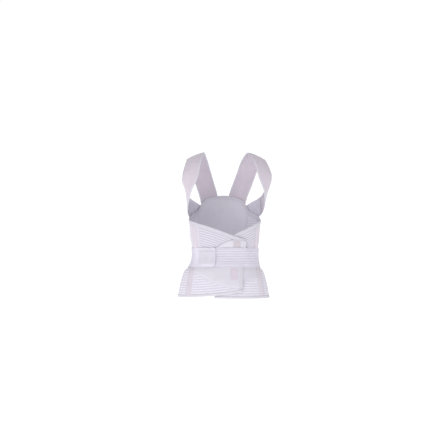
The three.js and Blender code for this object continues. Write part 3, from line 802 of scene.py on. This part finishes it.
# rows of an edge of the brace, from the end of a front round to the middle of the back
def edgeLine(front, upper):
    side = front["side"]
    level = levels["top" if upper else "hem"]
    edgeOf = frontTop if upper else frontHem
    u = np.linspace(1, 0, edgeRows["front"])[:-1]
    x = frontX(front, u, level)
    z = edgeOf(front, x)
    rows = [(side * bearingOf(x, z), z, frontLift(front, x))]
    across = np.linspace(-0.5, 0.5, edgeRows["channel"]) * channel["width"] + channelX(level)
    z = edgeOf(front, side * across)
    rows.append((bearingOf(across, z), z, 0 * z))
    u = np.linspace(0, 1, edgeRows["gore"])
    z = goreTop(u) if upper else goreHem(front, u)
    rows.append((goreBearing(u, z), z, 0 * z))
    share = np.array([edgeRows["corner"], *np.linspace(0, 0.5, edgeRows["back"])[1:]])
    z = backTop(share) if upper else back["hem"] + 0 * share
    rows.append((mix(goreBack(z), 360 - goreBack(z), share), z, 0 * z))
    columns = [np.concatenate(column) for column in zip(*rows)]
    return dict(zip(("bearing", "z", "lift"), columns))


fold = {
    "turn": 75, "steps": 9, "out": 0.78, "bulge": 1.1, "innerRim": 0.2,
    "rim": [(0, -0.35), (0.5, -0.15), (1.6, 0)], "outer": (0.5, 0.2, 0), "inner": (0, 0.4, 0.8),
}


# round fold of a tape, between its outer and its inner leg
def foldBend(shape, start, low, top):
    turn = np.radians(np.linspace(shape["turn"], -shape["turn"], shape["steps"]))
    return np.stack([start + shape["bulge"] * np.cos(turn), mix(low, top, 0.5 + np.sin(turn) / 2)], -1)


# section of a tape folded round an edge: outer leg, round fold, inner leg
def foldedSection(wide, inside, face, under):
    top = face + tape["thick"]
    low = -under - tape["thick"]
    outer = [(across - wide, top + rise) for across, rise in fold["rim"]]
    outer += [(-wide * share, top) for share in fold["outer"]]
    inner = [*((-inside * share, low) for share in fold["inner"]), (-inside, low + fold["innerRim"])]
    return np.array([*outer, *foldBend(fold, fold["out"], low, top), *inner])


# an edge's line, the way out across it, how wide its tape shows, and the bearings along it
def boundEdge(front, upper):
    line = edgeLine(front, upper)
    bearing = np.linspace(line["bearing"][0], line["bearing"][-1], tape["columns"])
    return line, 1 if upper else -1, tape["top" if upper else "hem"], bearing


def edgeTape(name, front, upper):
    line, out, wide, bearing = boundEdge(front, upper)
    section = foldedSection(wide, tape["inside"], tapeFace, tape["under"])
    run = runLengths(besideLine(line, bearing, 0, 0), 0)[:, None]
    bearing = bearing[:, None]
    pucker = tape["pucker"] * np.sin(run * 2 * math.pi / tape["puckerPitch"])
    seam = goreBack(curveAt(line, "bearing", "z", bearing))
    clear = easeStep(abs(bearing - seam) - back["lapReach"], 0, tape["pressFade"])
    rim = np.arange(len(section)) < len(fold["rim"])
    pressed = tape["press"] * clear * rim * (1 - easeStep(section[:, 0] + wide, 0, tape["rim"]))
    points = besideLine(line, bearing, section[:, 0] * out, section[:, 1] + pucker - pressed)
    # painted shade on the top tape, painted light on the hem tape
    finish = tapeLitAndShaded["top" if upper else "hem"]
    clothWall(name, mirrored(points, front["side"]), "tape", finish, front["side"] * out < 0)


for side, front in (("left", leftFront), ("right", rightFront)):
    edgeTape("top_tape_" + side, front, True)
    edgeTape("hem_tape_" + side, front, False)


onRightTab = partial(onTab, rightFront)


# heights along the free edge of the right tab
def tabEnd(inset, count):
    low = tabLow(rightFront, endX(rightFront, levels["lower"]))
    high = tabTop(rightFront, endX(rightFront, levels["upper"]))
    return np.linspace(low + inset, high - inset, count)


def endTape():
    section = foldedSection(tape["end"], tape["end"], layers["tab"] + layers["gap"], tape["endUnder"])
    z = tabEnd(0, tape["endRows"])[:, None]
    points = onRightTab(endX(rightFront, z) + section[:, 0], z, section[:, 1])
    clothWall("end_tape_right", points, "tape", tapeLitAndShaded["edge"], True)


endTape()
print("edges bound")

band = {
    "width": 71, "wall": 1.1, "rib": 0.6, "lift": 4.4, "columns": 260, "ribs": 7, "border": 2.75,
    "borderFade": 1, "slack": 0.1, "corner": 3, "drawReach": 15, "rim": 0.35, "rimReach": 1.2,
    "rimRows": (0.4, 1.1), "tuck": 5.5, "tuckDrop": 2.4, "tuckFade": (-1, 4), "curl": 3.0,
    "plainFrom": {"waist_band_left": 999, "waist_band_right": 293}, "plainFade": 10, "plainTone": 0.95,
}
bandThick = band["wall"] + band["rib"]
# waist bands: bearing and height of their middle line, and how much higher than elsewhere they lie
crossRise = bandThick + layers["gap"] + layers["ease"]
sunkRise = sunkStack - band["lift"]
frontRise = frontStack - band["lift"]
topRise = frontRise + bandThick + layers["gap"]
backRows = [
    (76.5, 212, 3.1), (89.2, 187, 0.2), (107.7, 168.8, 0), (120.6, 156.5, 0), (133, 140, 0),
    (145.5, 122, 0), (180, 76, 0), (214.5, 38, 0), (227, 24, 0), (240, 9, 0), (254, -7, 0),
    (272, -12.5, 0.5),
]
# rise of the upper band where the two cross
crossing = {133: 1.4, 145.5: crossRise, 180: crossRise, 214.5: crossRise, 227: 1.4}
topBandRows = [
    *((bearing, z, rise + crossing.get(bearing, 0)) for bearing, z, rise in backRows),
    (286, -12, 0.8), (298, -11, 1.6), (310, -10, 4.4), (320, -10, topRise), (328, -10, topRise),
    (333.5, -10, topRise + band["curl"]),
]
underBandRows = [
    *backRows, (288, -12, 0.8), (300, -11, 0.9), (309, -10, 1.8), (317.5, -10, sunkRise),
    (340, -10, sunkRise), (366, -10, frontRise), (396, -10, frontRise),
]


def bandLine(rows):
    bearing, z, rise = np.array(rows, float).T
    return {"bearing": bearing, "z": z, "lift": band["lift"] + rise}


topBand = bandLine(topBandRows)
underBand = bandLine(underBandRows)
# how far the lower and upper edge of a band close in on the cloth under it
topBand["drawn"] = {
    "bearing": [108, 116, 124, 133, 145, 152, 160, 166, 176, 188, 196, 204, 212, 224, 238,
                264, 276, 286, 298, 308, 314, 319, 322.5, 325.5, 329, 333.5],
    "lower": [0, 1.2, 1.2, 1.8, 3.2, 2.6, 0, 0, 0, 0, 2.4, 3.4, 3.4, 2.4, 1.7,
              1.8, 2, 1.8, 1.6, 3.4, 5.6, 6.2, 5.2, 3.8, 3.4, 3],
    "upper": [0, 1.2, 1.2, 1.8, 3.4, 3.4, 3.2, 2.2, 0, 0, 0, 0, 2.2, 2.4, 1.7,
              1.8, 1.9, 2.4, 3.4, 5.2, 6.8, 6.8, 6.2, 4.8, 3.6, 2.8],
}
underBand["drawn"] = {
    "bearing": [108, 116, 130, 264, 276, 288, 300, 309, 313, 316, 318.5, 321, 323, 325.5,
                340, 366, 384, 392, 396],
    "lower": [0, 1.2, 1.5, 1.7, 2, 1.8, 1.4, 2, 3, 3.8, 4.2, 4.2, 3.2, 0.9, 2.2, 2.4, 2.4, 3, 4],
    "upper": [0, 1.2, 1.5, 1.7, 1.9, 2.4, 2.8, 4, 5, 4.8, 1.2, 0.8, 0.8, 0.8, 0.9, 1, 0.8, 3, 4],
}
strapSeam = 107.7
hook = {
    "start": 301, "stop": 331.5, "half": 25, "thick": 1.1, "ease": 0.1, "corner": 4,
    "columns": 44, "rows": 30, "rollShares": (0.02, 0.03), "roll": 1.6, "drop": 0.5,
}


# half height of a patch near its ends, with round corners
def roundedHalf(run, half, corner):
    into = np.maximum(0, corner - np.minimum(run, run[-1] - run))
    return half - corner + np.sqrt(np.maximum(corner**2 - into**2, 0))


# heights over a patch with round corners, and how far its rim is rolled down
def patchRim(shape, run, v, half):
    share = mix(-1, 1, v)
    rim = np.minimum(np.minimum(run, run[-1] - run), half * (1 - abs(share)))
    return share * roundedHalf(run, half, shape["corner"]), rolledDrop(shape, rim)


def drawnIn(line, bearing, across):
    drawn = 0
    for edge, way in (("lower", 1), ("upper", -1)):
        share = 1 - easeStep(band["width"] / 2 + way * across, 0, band["drawReach"])
        drawn = drawn + curveAt(line["drawn"], "bearing", edge, bearing) * share
    return drawn


def waistBand(name, line, side):
    start = strapSeam - band["tuck"]
    bearing = np.linspace(start, line["bearing"][-1], band["columns"])[:, None]
    wide = band["width"]
    half = wide / 2
    border = band["border"]
    at, rise = ribRows(wide - border - band["slack"], border, (wide - 2 * border) / band["ribs"])
    near, far = band["rimRows"]
    at = np.array([0, near, far, *at[1:], wide - far, wide - near, wide])
    rise = np.array([0, 0, 0, *rise[1:], 0, 0, 0])
    run = runLengths(besideLine(line, bearing[:, 0], 0, 0), 0)[:, None]
    limit = roundedHalf(run, half, band["corner"])
    limit = np.where(run < run[-1] / 2, half, limit)
    across = (at / half - 1) * limit
    plainFrom = band["plainFrom"][name]
    plain = easeStep(bearing, plainFrom - band["plainFade"], plainFrom)
    ridge = rise * (1 - plain)
    rim = band["rim"] * (1 - easeStep(np.minimum(at, wide - at), 0, band["rimReach"]))
    tuck = band["tuckDrop"] * (1 - easeStep(bearing - strapSeam, *band["tuckFade"]))
    lift = band["wall"] + band["rib"] * ridge - rim - tuck - drawnIn(line, bearing, across)
    points = mirrored(besideLine(line, bearing, across, lift), side)
    bordered = easeStep(abs(at - half) - half + border, 0, band["borderFade"])
    tone = np.maximum(ridge, band["plainTone"] * np.maximum(bordered, plain))
    # the belt takes the copy between the painted shade above and the painted light below
    clothWall(name, points, "band", elastic["belt"], side < 0, tone)


waistBand("waist_band_left", underBand, -1)
waistBand("waist_band_right", topBand, 1)


def onHook(bearing, across, lift):
    drawn = drawnIn(topBand, bearing, across)
    return besideLine(topBand, bearing, across, band["wall"] + hook["ease"] + lift - drawn)


def hookPatch():
    u, v = rolledGrid(hook)
    bearing = mix(hook["start"], hook["stop"], u)
    run = runLengths(onHook(bearing[:, 0], 0, 0), 0)[:, None]
    across, drop = patchRim(hook, run, v, hook["half"])
    points = onHook(bearing, across, hook["thick"] - drop)
    # the hook patch takes the same greyer cloth as the shaded left tab
    clothWall("band_tab", points, "patch", smooth["greyPatchAndShadedTab"])


hookPatch()
labels = {
    "label_upper": {"x": 33, "z": 38.5, "wide": 24, "tall": 22},
    "label_lower": {"x": 27, "z": -68, "wide": 24, "tall": 40},
}
labelShape = {"columns": 16, "rows": 22, "rollShares": (0.04, 0.04), "corner": 1.5, "roll": 1, "drop": 0.25}


def blankLabel(name, size):
    u, v = rolledGrid(labelShape)
    x = size["x"] + size["wide"] * (u - 0.5)
    up, drop = patchRim(labelShape, x - x[0], v, size["tall"] / 2)
    points = onRightTab(x, size["z"] + up, labelFace - drop)
    clothWall(name, points, "label", labelSatin(name))


for name, size in labels.items():
    blankLabel(name, size)
print("bands, hook patch and labels made")

# middle line of the left shoulder strap, from the back over the top, down the front and round the side,
# the way its face looks, and how far its edges bend in
shoulderLine = {
    "x": [50, 60, 76, 93, 105, 111, 114.5, 126, 136, 146.5, 142.5, 137.1, 130.5],
    "y": [106.1, 105.3, 98, 78, 45, 12, -20, -50, -67, -57, -33.3, -2, 38],
    "z": [186, 224, 270, 323.5, 349.5, 354.5, 345.5, 318.5, 279, 243, 212, 187, 170],
    "nx": [0.25, 0.28, 0.3, 0.34, 0.36, 0.38, 0.45, 0.56, 0.62, 0.845, 0.98, 1, 0.93],
    "ny": [0.966, 0.955, 0.9, 0.68, 0.32, -0.02, -0.36, -0.6, -0.76, -0.535, -0.2, 0.02, 0.37],
    "nz": [-0.05, 0.06, 0.32, 0.65, 0.88, 0.92, 0.81, 0.57, 0.2, 0.02, 0, 0, 0.03],
    "bend": [5, 5, 5, 4, 3, 2.5, 2.5, 4, 5, 5, 3, 1, 1],
}
shoulderLine["at"] = list(range(len(shoulderLine["x"])))
strapEnd = shoulderLine["at"][-1]
strap = {
    "width": 68, "thick": 2.4, "rim": 1.2, "wall": 1.5, "columns": 220, "rows": 97, "fill": 0.3,
    "channels": (-24, -12, 0, 12, 24), "channelDepth": 0.4, "channelWidth": 1.3,
    "blendRows": 1.5, "perRow": 18, "seamGap": 0.4, "ease": 0.6,
}
binding = {
    "wide": 3.4, "inside": 4, "thick": 0.5, "ease": 0.05, "under": 0.2, "puff": (0.45, 0.3),
    "turn": 80, "steps": 8, "bulge": 0.9, "columns": 260,
}


# a place on the left strap: s counts the rows, a runs across, lift stands off its inner face
def onStrap(s, a, lift):
    s, a, lift = together(s, a, lift)

    def read(columns, at):
        return np.stack([curveAt(shoulderLine, "at", column, at) for column in columns], -1)

    middle = read("xyz", s)
    along = read("xyz", s + strap["ease"]) - read("xyz", s - strap["ease"])
    across = unit(np.cross(read(("nx", "ny", "nz"), s), along))
    outward = unit(np.cross(along, across))
    bent = lift - curveAt(shoulderLine, "at", "bend", s) * (2 * a / strap["width"]) ** 2
    free = middle + across * a[..., None] + outward * bent[..., None]
    bearing = strapSeam - strap["seamGap"] + strap["perRow"] * (s - strapEnd)
    onBand = besideLine(underBand, bearing, a, bent)
    return mix(free, onBand, easeStep(s, strapEnd - strap["blendRows"], strapEnd)[..., None])


# height of the padded face above the inner one
def strapFace(a):
    share = abs(a) / (strap["width"] / 2)
    crown = mix(strap["thick"], strap["rim"], share**4)
    for line in strap["channels"]:
        crown = crown - strap["channelDepth"] * np.exp(-(((a - line) / strap["channelWidth"]) ** 2))
    return crown


def shoulderStrap(name, side):
    s = np.linspace(0, strapEnd, strap["columns"])[:, None]
    a = np.linspace(-0.5, 0.5, strap["rows"]) * strap["width"]
    points = mirrored(onStrap(s, a, strapFace(a)), side)
    piece = layCloth(name, points, side < 0)
    thicken(piece, strap["wall"])
    dress(piece, strapCloth, name)


# tape folded round the outer edge of a strap, or round the inner one where edge is -1
def strapBinding(strapName, side, edge):
    half = strap["width"] / 2
    top = float(strapFace(np.array(half))) + binding["thick"] + binding["ease"]
    under = top - strap["wall"] - 2 * binding["thick"] - binding["under"]
    rimPuff, midPuff = binding["puff"]
    outer = [(half - binding["wide"], top + rimPuff), (half - binding["wide"] / 2, top + midPuff)]
    inner = [(half - binding["inside"] / 2, under), (half - binding["inside"], under)]
    section = np.array([*outer, *foldBend(binding, half, under, top), *inner])
    s = np.linspace(0, strapEnd, binding["columns"])[:, None]
    points = mirrored(onStrap(s, section[:, 0] * edge, section[:, 1]), side)
    word = "outer" if edge > 0 else "inner"
    piece = layCloth(f"{strapName}_{word}_binding", points, side * edge < 0)
    thicken(piece, binding["thick"])
    dress(piece, tapeLitAndShaded["edge"])


for name, side in (("shoulder_strap_left", 1), ("shoulder_strap_right", -1)):
    shoulderStrap(name, side)
    strapBinding(name, side, 1)
    strapBinding(name, side, -1)
print("straps made")

# stitches: rows of short threads lying on the cloth
stitch = {"length": 2.7, "gap": 1.1, "width": 0.7, "rise": 0.4, "crest": (0.3, 0.7), "sink": 0.05}
# where the rows run: distances from an edge, or shares or rows along a piece
seams = {
    "tape": 2.2, "tab": (3, 6.5), "tabRun": (0.02, 0.98), "casing": 1.9, "casingRun": (0.05, 0.95),
    "casingSink": 0.1, "endTape": 1.8, "endRun": 1, "hookAlong": 1.2, "hookAcross": 2.5, "label": 1.6,
    "strapRun": (0.9, 0.45), "strapBox": (0.1, 0.75, -30, 30), "strapFoot": (0.12, 0.3), "strapSide": 2,
    "back": (0.022, 0.045, 0.955, 0.978), "backRun": (-145, 146), "backRise": 0.75,
    "steps": {"front": 200, "end": 120, "box": 60, "strap": 400, "back": 300},
}


# a line on a piece: its points and the way out of the cloth
def lineOn(place, first, second, lift, side=1):
    first, second = together(first, second)
    points = mirrored(place(first, second, lift), side)
    normals = mirrored(place(first, second, lift + 1), side) - points
    return points, normals


def atLengths(lengths, run, values):
    return np.stack([np.interp(lengths, run, column) for column in values.T], -1)


def sew(name, lines):
    length = stitch["length"]
    corners = []
    faces = []
    pattern = [(0, 3, 4), (3, 5, 4), (3, 1, 5), (1, 2, 5), (2, 4, 5), (2, 0, 4), (0, 2, 1, 3)]
    for points, normals in lines:
        run = runLengths(points, 0)
        starts = np.arange(stitch["gap"], run[-1] - length, length + stitch["gap"])
        middles = starts + length / 2
        first = atLengths(starts, run, points)
        middle = atLengths(middles, run, points)
        last = atLengths(starts + length, run, points)
        out = unit(atLengths(middles, run, normals))
        beside = unit(np.cross(out, last - first)) * stitch["width"] / 2
        top = out * stitch["rise"]
        shape = [first, last, middle + beside, middle - beside]
        shape += [mix(first, last, share) + top for share in stitch["crest"]]
        for six in toScene(np.stack(shape, 1)):
            base = len(corners)
            corners.extend(six.tolist())
            faces.extend(tuple(base + k for k in face) for face in pattern)
    mesh = bpy.data.meshes.new(name)
    mesh.from_pydata(corners, [], faces)
    dress(addObject(name, mesh), thread)
    print(f"  {name}: {len(faces) // len(pattern)} stitches")


def tapeStitches(front, upper):
    line, out, wide, bearing = boundEdge(front, upper)
    across = -out * (wide - seams["tape"])
    lift = tapeFace + tape["thick"] - stitch["sink"]
    return lineOn(partial(besideLine, line), bearing, across, lift, front["side"])


def tabStitches(front, inset):
    def place(x, z, lift):
        return onTab(front, x, z, lift - tabPress(front, x, z))

    lift = layers["tab"] - stitch["sink"]
    u = np.linspace(*seams["tabRun"], seams["steps"]["front"])
    x = frontX(front, u, levels["tab"])
    heights = (tabLow(front, x) + inset, tabTop(front, x) - inset)
    return [lineOn(place, frontX(front, u, z), z, lift) for z in heights]


def casingStitches(front, edge):
    across = edge * (channel["width"] / 2 + channel["lap"] - seams["casing"])
    t = np.linspace(*seams["casingRun"], seams["steps"]["front"])
    return lineOn(partial(onChannel, front), t, across, channel["edge"] - seams["casingSink"])


def endStitches():
    z = tabEnd(seams["endRun"], seams["steps"]["end"])
    lift = layers["tab"] + layers["gap"] + tape["thick"] - stitch["sink"]
    return lineOn(onRightTab, endX(rightFront, z) - tape["end"] + seams["endTape"], z, lift)


frontLines = [endStitches()]
for front in (leftFront, rightFront):
    for inset in seams["tab"]:
        frontLines += tabStitches(front, inset)
    for upper in (True, False):
        frontLines.append(tapeStitches(front, upper))
    for edge in (-1, 1):
        frontLines.append(casingStitches(front, edge))
sew("front_stitches", frontLines)


# a closed row of stitches round a patch
def boxPath(low, high, bottom, top):
    corners = np.array([(low, bottom), (high, bottom), (high, top), (low, top), (low, bottom)])
    sides = [np.linspace(*ends, seams["steps"]["box"]) for ends in zip(corners, corners[1:])]
    return np.concatenate(sides).T


def hookStitches():
    reach = hook["half"] - seams["hookAcross"]
    path = boxPath(hook["start"] + seams["hookAlong"], hook["stop"] - seams["hookAlong"], -reach, reach)
    return lineOn(onHook, *path, hook["thick"])


def labelStitches(size):
    wide = size["wide"] / 2 - seams["label"]
    tall = size["tall"] / 2 - seams["label"]
    path = boxPath(size["x"] - wide, size["x"] + wide, size["z"] - tall, size["z"] + tall)
    return lineOn(onRightTab, *path, labelFace)


patchLines = [hookStitches(), *map(labelStitches, labels.values())]
sew("patch_stitches", patchLines)


def onStrapFace(s, a, lift):
    return onStrap(s, a, strapFace(a) + lift)


def strapStitches(side):
    start, stop = seams["strapRun"]
    along = np.linspace(start, strapEnd - stop, seams["steps"]["strap"])
    rows = [lineOn(onStrapFace, along, a, 0, side) for a in strap["channels"]]
    rows.append(lineOn(onStrapFace, *boxPath(*seams["strapBox"]), 0, side))
    reach = strap["width"] / 2 - seams["strapSide"]
    across = np.linspace(-reach, reach, seams["steps"]["box"])
    return rows + [lineOn(onStrapFace, strapEnd - foot, across, 0, side) for foot in seams["strapFoot"]]


strapLines = [*strapStitches(1), *strapStitches(-1)]
sew("strap_stitches", strapLines)


def onBack(u, z, lift):
    return onTorso(backBearing(u, z), z, layers["panel"] + lift)


up = np.linspace(*seams["backRun"], seams["steps"]["back"])
backLines = [lineOn(onBack, u, up, seams["backRise"]) for u in seams["back"]]
sew("back_stitches", backLines)
print("stitches sewn")

# floor and light
studio = {
    "floorZ": -0.95, "floorSize": 30.0, "floorCells": 8, "floorGlow": 0.66,
    "horizon": 1.1, "level": 0.16, "zenith": 0.4,
}
floorLook = {
    "paint": ((246, 246, 247), (250, 250, 250)),
    "roughness": 0.9, "sheen": 0.0, "cloud": (1.5, 2.0), "depth": 0.1,
}
lights = {
    "keyLight": {"place": (-1.7, -2.5, 1.5), "size": 1.2, "power": 22},
    "fillLight": {"place": (1.5, -2.5, -0.3), "size": 1.8, "power": 2},
}


def paleFloor():
    bm = bmesh.new()
    cells = studio["floorCells"]
    bmesh.ops.create_grid(bm, x_segments=cells, y_segments=cells, size=studio["floorSize"] / 2)
    bmesh.ops.translate(bm, verts=bm.verts, vec=(0, 0, studio["floorZ"]))
    mesh = bpy.data.meshes.new("studio_floor")
    bm.to_mesh(mesh)
    bm.free()
    floor = addObject("studio_floor", mesh)
    finish = Finish("paleFloor", floorLook)
    cloud = finish.noise("cloud")
    colour = cloud.between(*floorLook["paint"])
    finish.shader.inputs["Emission Color"].default_value = (1, 1, 1, 1)
    finish.shader.inputs["Emission Strength"].default_value = studio["floorGlow"]
    mesh.materials.append(finish.join(colour, cloud))


def softLight(name, place, size, power):
    data = bpy.data.lights.new(name, "AREA")
    data.size = size
    data.energy = power
    light = addObject(name, data)
    light.location = place
    light.rotation_euler = (-Vector(place)).to_track_quat("-Z", "Y").to_euler()


paleFloor()
for name, light in lights.items():
    softLight(name, **light)


# white round the horizon, dimmer overhead
def studioWorld():
    world = bpy.data.worlds.new("studio")
    world.use_nodes = True
    start = Strand(world.node_tree)
    way = start.add("ShaderNodeTexCoord", {}, {}, "Generated")
    height = start.add("ShaderNodeSeparateXYZ", {}, {0: way}, 2)
    above = (height - studio["level"]).math("MAXIMUM", 0.0)
    fall = (studio["horizon"] - studio["zenith"]) / (1 - studio["level"])
    glow = studio["horizon"] - above * fall
    world.node_tree.links.new(glow.socket, world.node_tree.nodes["Background"].inputs["Color"])
    return world


bpy.context.scene.world = studioWorld()
bpy.context.scene.view_settings.view_transform = "Standard"
print("studio lit")
